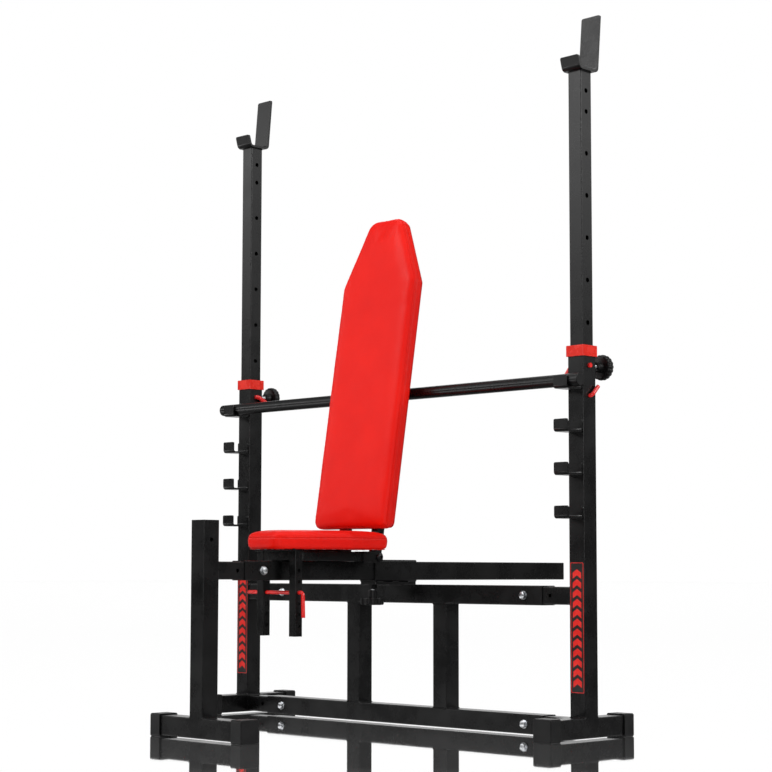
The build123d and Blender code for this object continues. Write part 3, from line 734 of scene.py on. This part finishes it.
pivot_high = box_mm("pivot_bolt")[1]
head_x = pivot_high[0] - 8.0
bolts = Soup()
bolts.add(
    lathe([(0, 6.1), (0, 11.0), (1.2, 11.2), (3.4, 10.6), (5.4, 9.0), (6.6, 6.9), (6.9, 5.2), (6.9, 4.9), (3.6, 4.7)]),
    stand(mm(head_x, pivot_y, pivot_z), X),
)
bolts.add(hexagon(19.0, 7.0, both=True), stand(mm(-head_x, pivot_y, pivot_z), -X, 0.3))
bolts.add(lathe([(0, 6.0), (2 * head_x, 6.0)], 32), stand(mm(-head_x, pivot_y, pivot_z), X))
bolts.add(thread(6.0, 8.0, 1.75), stand(mm(-head_x, pivot_y, pivot_z), -X))
bolts.piece("hinge_bolt", black_steel, "bench", "black_steel", ("pivot_bolt",))

KNOB = (
    (15.6, 0.02), (15.6, 5.05), (0.3, 5.05), (0.0, 5.5), (0.0, 12.2), (0.7, 13.0), (13.0, 13.2), (15.5, 14.5),
    (16.1, 17.0), (16.2, 24.0), (17.2, 29.0, 0.5), (19.6, 32.2, 0.9), (22.4, 33.0, 1.0), (31.2, 33.0, 1.0),
    (34.0, 32.0, 0.9), (36.0, 29.6, 0.5), (36.9, 26.6, 0.1), (36.9, 24.4), (36.1, 22.8), (34.4, 21.0), (34.2, 12.5),
    (34.8, 11.4), (36.3, 10.4), (36.6, 8.0), (36.6, 0.02),
)
for name in ("right", "left"):
    low, high = box_mm("clamp_knob_" + name)
    screw_low, screw_high = box_mm("clamp_screw_" + name)
    x, z = (low[0] + high[0]) / 2, (low[2] + high[2]) / 2
    knob = Soup()
    knob.add(lathe(KNOB, 144, 18, 1.9), stand(mm(x, low[1], z), Y))
    knob.piece("clamp_knob_cap_" + name, black_plastic, "clamp_" + name, "black_plastic", ("clamp_knob_" + name,))
    screw = Soup()
    screw.add(thread(5.0, screw_high[1] - screw_low[1] - 0.4), stand(mm(x, screw_low[1], z), Y))
    screw.piece("clamp_thread_" + name, zinc_steel, "clamp_" + name, "zinc_steel", ("clamp_screw_" + name,))

pan_head = lathe([(0, 5.9), (0.8, 6.0), (2.4, 5.2), (3.2, 3.6), (3.3, 2.3), (3.2, 1.9), (1.6, 1.5)], 32)
screws = Soup()
for y in SEAT_FLAT_Y:
    for x in SCREW_X:
        screws.add(pan_head, stand(mm(x, y, SEAT_FLAT_Z), -Z))
screws.piece("seat_screws", zinc_steel, "seat", "zinc_steel")
screws = Soup()
for u in BACK_CROSS_U:
    for x in SCREW_X:
        screws.add(pan_head, stand(back_at(x, u, -3.0), -BACK_OUT))
screws.piece("back_screws", zinc_steel, "backrest", "zinc_steel")

# ---------------------------------------------------------------- decals on the front faces of the posts


def film(outline, y, thick):
    """Thin sheet facing -Y from (x, z) points in millimetres."""
    front = [mm(x, y - thick, z) for x, z in outline]
    back = [mm(x, y, z) for x, z in outline]
    return rings_to_shape([back, front])


def rounded(cx, cz, half_x, half_z, radius, steps=5):
    out = []
    for k, (sx, sz) in enumerate(((1, 1), (-1, 1), (-1, -1), (1, -1))):
        for step in range(steps):
            a = math.pi / 2 * (k + step / (steps - 1))
            x = cx + sx * (half_x - radius) + radius * math.cos(a)
            z = cz + sz * (half_z - radius) + radius * math.sin(a)
            out.append((x, z))
    return out


def frame_strip(cx, cz, half_x, half_z, width, y, thick):
    """Thin closed border of a rounded rectangle."""
    outer = rounded(cx, cz, half_x, half_z, 3.0)
    inner = rounded(cx, cz, half_x - width, half_z - width, 1.8)
    rings = [
        [mm(px, y, pz) for px, pz in outer],
        [mm(px, y - thick, pz) for px, pz in outer],
        [mm(px, y - thick, pz) for px, pz in inner],
        [mm(px, y, pz) for px, pz in inner],
    ]
    return rings_to_shape(rings, False)


DECAL_LOW, DECAL_HIGH = 114.5, 440.5
panel, marks = Soup(), Soup()
for side in (-1, 1):
    cx, cz = side * post_x, (DECAL_LOW + DECAL_HIGH) / 2
    half_x, half_z = 21.8, (DECAL_HIGH - DECAL_LOW) / 2
    panel.add(film(rounded(cx, cz, half_x, half_z, 3.0), post_front, 0.12))
    marks.add(frame_strip(cx, cz, half_x - 1.0, half_z - 1.0, 1.5, post_front - 0.1, 0.12))
    reach, rise, thick, pitch = 13.6, 9.0, 15.0, 24.6
    z = DECAL_LOW + 14.0
    while z + thick + rise < DECAL_HIGH - 10.0:
        shape = [
            (-reach, z), (0, z + rise), (reach, z),
            (reach, z + thick), (0, z + rise + thick), (-reach, z + thick),
        ]
        marks.add(film([(cx + a, b) for a, b in shape], post_front - 0.1, 0.12))
        z += pitch
panel.piece("decal_panels", decal_black, "frame", "frame_black")
marks.piece("decal_marks", decal_red, "frame", "red_plastic")

# ---------------------------------------------------------------- pads

# All in millimetres; the thickness is the crown's, and the corners' radii grow with the inset.
PAD_HALF, PAD_NOSE, PAD_TAPER, PAD_THICK = 140.0, 58.0, 185.0, 49.0
PAD_CORNER, NOSE_CORNER, CORNER_STEPS = 18.0, 32.0, 9
SEAM_HEIGHT = 30.0


def pad_outline(length, inset):
    """Convex tapered outline in millimetres, moved in by an inset, with rounded corners."""
    corners = [
        (PAD_HALF, 0), (PAD_HALF, length - PAD_TAPER), (PAD_NOSE, length),
        (-PAD_NOSE, length), (-PAD_HALF, length - PAD_TAPER), (-PAD_HALF, 0),
    ]
    corners = [Vector(c) for c in corners]
    count = len(corners)
    moved = []
    for i in range(count):
        before, here, after = corners[i - 1], corners[i], corners[(i + 1) % count]
        a, b = (here - before).normalized(), (after - here).normalized()
        na, nb = Vector((-a.y, a.x)), Vector((-b.y, b.x))
        bisector = (na + nb).normalized()
        moved.append(here + bisector * (inset / bisector.dot(na)))
    out = []
    for i in range(count):
        radius = NOSE_CORNER + inset * 0.1 if i in (2, 3) else PAD_CORNER + inset * 0.3
        before, here, after = moved[i - 1], moved[i], moved[(i + 1) % count]
        a, b = (here - before).normalized(), (after - here).normalized()
        turn = math.acos(max(-1.0, min(1.0, a.dot(b))))
        reach = radius * math.tan(turn / 2)
        start = here - a * reach
        centre = start + Vector((-a.y, a.x)) * radius
        first = math.atan2(start.y - centre.y, start.x - centre.x)
        for k in range(CORNER_STEPS):
            angle = first + turn * k / (CORNER_STEPS - 1)
            out.append(centre + Vector((math.cos(angle), math.sin(angle))) * radius)
    return out


# Height above the pad's back, and inset from its outline.
PAD_PROFILE = (
    (0.0, 5.0), (0.8, 3.0), (2.6, 1.5), (8.0, 0.3), (20.0, -1.0), (28.0, -1.0), (31.0, -0.3), (35.0, 1.2),
    (38.5, 4.0), (41.5, 8.5), (43.8, 15.0), (45.2, 24.0), (46.0, 38.0), (46.3, 50.0),
)


def apply_modifiers(obj):
    graph = bpy.context.evaluated_depsgraph_get()
    mesh = bpy.data.meshes.new_from_object(obj.evaluated_get(graph))
    old = obj.data
    obj.modifiers.clear()
    obj.data = mesh
    bpy.data.meshes.remove(old)


def points_of(mesh):
    flat = np.empty(len(mesh.vertices) * 3)
    mesh.vertices.foreach_get("co", flat)
    return flat.reshape(-1, 3)


# The cloth's run in frames, and in metres the cap on its travel and the bulge allowed past each side;
# the travel is then scaled to reach the crown's height, by this gain at most.
CLOTH_FRAMES, CLOTH_CAP, CLOTH_MAX_GAIN, BULGE = 20, 0.009, 2.5, 0.003


def stuffed(name, length, voxel):
    """Swollen pad in its own coordinates (metres), with its back on z = 0."""
    rings = [[mm(p.x, p.y, z) for p in pad_outline(length, inset)] for z, inset in PAD_PROFILE]
    mesh = bpy.data.meshes.new(name)
    verts, faces = rings_to_shape(rings)
    mesh.from_pydata([tuple(v) for v in verts], [], faces)
    pad = bpy.data.objects.new(name, mesh)
    scene.collection.objects.link(pad)
    remesh = pad.modifiers.new("remesh", "REMESH")
    remesh.mode = "VOXEL"
    remesh.voxel_size = voxel
    smooth = pad.modifiers.new("smooth", "SMOOTH")
    smooth.factor = 0.5
    smooth.iterations = 12
    apply_modifiers(pad)
    start = points_of(pad.data)
    low = start[:, 2] < 0.0012
    start[low, 2] = np.minimum(start[low, 2], 0.0006)
    pad.data.vertices.foreach_set("co", start.ravel())
    held = pad.vertex_groups.new(name="held")
    for i in np.nonzero(start[:, 2] < 0.002)[0]:
        held.add([int(i)], 1.0, "REPLACE")
    cloth = pad.modifiers.new("cloth", "CLOTH")
    settings = cloth.settings
    settings.quality = 6
    settings.mass = 0.3
    settings.use_pressure = True
    settings.uniform_pressure_force = 4.0
    settings.tension_stiffness = settings.compression_stiffness = 25
    settings.shear_stiffness = 12
    settings.bending_stiffness = 0.6
    settings.effector_weights.gravity = 0.0
    settings.vertex_group_mass = "held"
    cloth.collision_settings.use_collision = False
    for step in range(1, CLOTH_FRAMES + 1):
        scene.frame_set(step)
    apply_modifiers(pad)
    scene.frame_set(1)
    moved = points_of(pad.data)
    shift = moved - start
    far = np.linalg.norm(shift, axis=1)
    shift *= (CLOTH_CAP * np.tanh(far / CLOTH_CAP) / np.maximum(far, 1e-9))[:, None]
    inset, _, _ = outline_distance(start, length)
    shift[:, :2] *= np.clip((inset - 4.0) / 30.0, 0.15, 1.0)[:, None]
    crown = start[:, 2].max()
    gain = (0.001 * PAD_THICK - crown) / max(1e-6, (start + shift)[:, 2].max() - crown)
    shift *= min(gain, CLOTH_MAX_GAIN)
    moved = start + shift
    moved[:, 0] = np.clip(moved[:, 0], -0.001 * PAD_HALF - BULGE, 0.001 * PAD_HALF + BULGE)
    pad.data.vertices.foreach_set("co", moved.ravel())
    pad.vertex_groups.clear()
    subdivide = pad.modifiers.new("subdivide", "SUBSURF")
    subdivide.levels = subdivide.render_levels = 1
    apply_modifiers(pad)
    return pad


def outline_distance(points, length):
    """Distance of points (metres) from the pad's outline, where that is along it, and its whole length, all in mm."""
    path = pad_outline(length, 0.0)
    xy = points[:, :2] * 1000
    best = np.full(len(xy), 1e9)
    along = np.zeros(len(xy))
    gone = 0.0
    for i, a in enumerate(path):
        b = path[(i + 1) % len(path)]
        d = np.array(b - a)
        size = np.linalg.norm(d)
        if size < 1e-6:
            continue
        t = np.clip(((xy - np.array(a)) @ d) / size**2, 0, 1)
        away = np.linalg.norm(xy - (np.array(a) + t[:, None] * d), axis=1)
        near = away < best
        best[near] = away[near]
        along[near] = gone + t[near] * size
        gone += size
    return best, along, gone


def wave(along, total, seed, cycles):
    """Smooth random wave along the closed outline, from -1 to 1."""
    local = random.Random(seed)
    out = np.zeros(len(along))
    for k in cycles:
        out += local.uniform(0.5, 1.0) * np.sin(2 * math.pi * k * along / total + local.uniform(0, 2 * math.pi))
    return out / (0.75 * math.sqrt(len(cycles)) * 1.6)


def sewn(pad, length, seed):
    """Pull the cover in along its seam, with small puckers that fade out on both sides."""
    points = points_of(pad.data)
    inset, along, total = outline_distance(points, length)
    z = points[:, 2] * 1000
    normals = np.empty(len(points) * 3)
    pad.data.vertex_normals.foreach_get("vector", normals)
    normals = normals.reshape(-1, 3)
    from_seam = np.where(z > SEAM_HEIGHT, np.hypot(z - SEAM_HEIGHT, np.maximum(inset - 3, 0)), SEAM_HEIGHT - z)
    near_side = (inset < 45) & (z > 3)
    groove = 0.9 * np.exp(-((from_seam / 3.2) ** 2))
    pucker = wave(along, total, seed, [int(total / w) for w in (13, 16, 19, 23, 29)]) * 0.34
    pucker *= np.exp(-((from_seam / 13.0) ** 2))
    sag = wave(along, total, seed + 1, [int(total / w) for w in (90, 130, 210, 330)]) * 0.35
    sag *= np.exp(-((from_seam / 30.0) ** 2))
    push = np.where(near_side, -groove + pucker + sag, 0.0)
    points = points + normals * (push * 0.001)[:, None]
    pad.data.vertices.foreach_set("co", points.ravel())


def seam_line(pad, length, height, step=0.0035):
    """Closed line of points on the pad's side at a height, found by rays from outside."""
    tree = BVHTree.FromPolygons([v.co for v in pad.data.vertices], [p.vertices for p in pad.data.polygons])
    outer = resample([mm(p.x, p.y, height) for p in pad_outline(length, 0.0)], step, True)
    count = len(outer)
    hits = []
    for i, p in enumerate(outer):
        along = (outer[(i + 1) % count] - outer[i - 1]).normalized()
        inward = Vector((-along.y, along.x, 0))
        hit = tree.ray_cast(p - inward * 0.02, inward, 0.08)
        hits.append((hit[0] if hit[0] else p, hit[1] if hit[1] else -inward))
    return hits


def upholster(name, cad_node, length, voxel, place, body, seed):
    """One finished cushion: swollen cover, welt, stitches, turned edge and staples."""
    pad = stuffed(name, length, voxel)
    sewn(pad, length, seed)
    welt_hits = seam_line(pad, length, SEAM_HEIGHT)
    ridge = Soup()
    ridge.add(tube([p + n * 0.0003 for p, n in welt_hits], lambda i: 1.15, 10, True), place)
    ridge.piece(name + "_welt", pad_red, body, "pad_red", sharp=80)
    thread_hits = seam_line(pad, length, SEAM_HEIGHT - 4.5, 0.0028)
    stitches = Soup()
    for i in range(0, len(thread_hits) - 2, 2):
        (a, na), (b, nb) = thread_hits[i], thread_hits[i + 1]
        a, b = a + na * 0.0001, b + nb * 0.0001
        stitches.add(capsule(a.lerp(b, -0.15), a.lerp(b, 1.1), 0.42, 6), place)
    stitches.piece(name + "_stitches", thread_red, body, "pad_red")
    pad.data.transform(place)
    pad.data.shade_smooth()
    pad.data.materials.clear()
    pad.data.materials.append(pad_red)
    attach(pad, body)
    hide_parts(cad_node)
    turned_edge(name, length, place, body, seed)


def turned_edge(name, length, place, body, seed):
    """The cover's edge folded over the board and stapled to its back."""
    local = random.Random(seed)
    path = resample([mm(p.x, p.y, 0) for p in pad_outline(length, 0.0)], 0.004, True)
    count = len(path)
    along = np.arange(count) / count
    edge_wave = wave(along * 1000, 1000, seed + 5, [9, 17, 31, 47])
    pleat = wave(along * 1000, 1000, seed + 6, [83, 109, 131])
    rings = []
    staples = Soup()
    for i, p in enumerate(path):
        step = (path[(i + 1) % count] - path[i - 1]).normalized()
        inward = Vector((-step.y, step.x, 0))
        bend = (path[(i + 4) % count] - p).normalized().dot((p - path[i - 4]).normalized())
        fold = 0.0011 if bend < 0.985 else 0.00025
        depth = 0.0335 + 0.0014 * edge_wave[i]
        lift = abs(pleat[i]) * fold
        rings.append([
            p + inward * 0.0045 + Z * 0.0006, p + inward * 0.0062 - Z * (0.0008 + lift * 0.4),
            p + inward * 0.013 - Z * (0.0010 + lift), p + inward * 0.024 - Z * (0.0010 + lift),
            p + inward * (depth - 0.0006) - Z * (0.0009 + lift * 0.5), p + inward * depth - Z * 0.0004,
            p + inward * depth + Z * 0.0006, p + inward * 0.02 + Z * 0.0006,
        ])
        if i % 7 == 3:
            tilt = local.uniform(-0.35, 0.35)
            across = (step + inward * tilt).normalized() * 0.0052
            centre = p + inward * local.uniform(0.019, 0.023) - Z * (0.0013 + lift)
            leg = Z * 0.0012
            ends = [centre - across + leg, centre - across * 0.96, centre + across * 0.96, centre + across + leg]
            staples.add(tube(ends, lambda k: 0.42, 6), place)
    verts = [q for ring in rings for q in ring]
    wide = len(rings[0])
    faces = [
        (a * wide + j, a * wide + k, b * wide + k, b * wide + j)
        for a, b in ((i, (i + 1) % count) for i in range(count))
        for j, k in ((j, (j + 1) % wide) for j in range(wide))
    ]
    cover = Soup()
    cover.add((verts, faces), place)
    cover.piece(name + "_turned_edge", pad_red, body, "pad_red", sharp=60)
    staples.piece(name + "_staples", zinc_steel, body, "zinc_steel")


upholster("seat_cushion", "seat_pad", seat_high[1] - seat_low[1], 0.004, seat_place, "seat", 3)
upholster("back_cushion", "back_pad", PAD_TOP_U - PAD_BOTTOM_U, 0.0048, back_place, "backrest", 7)
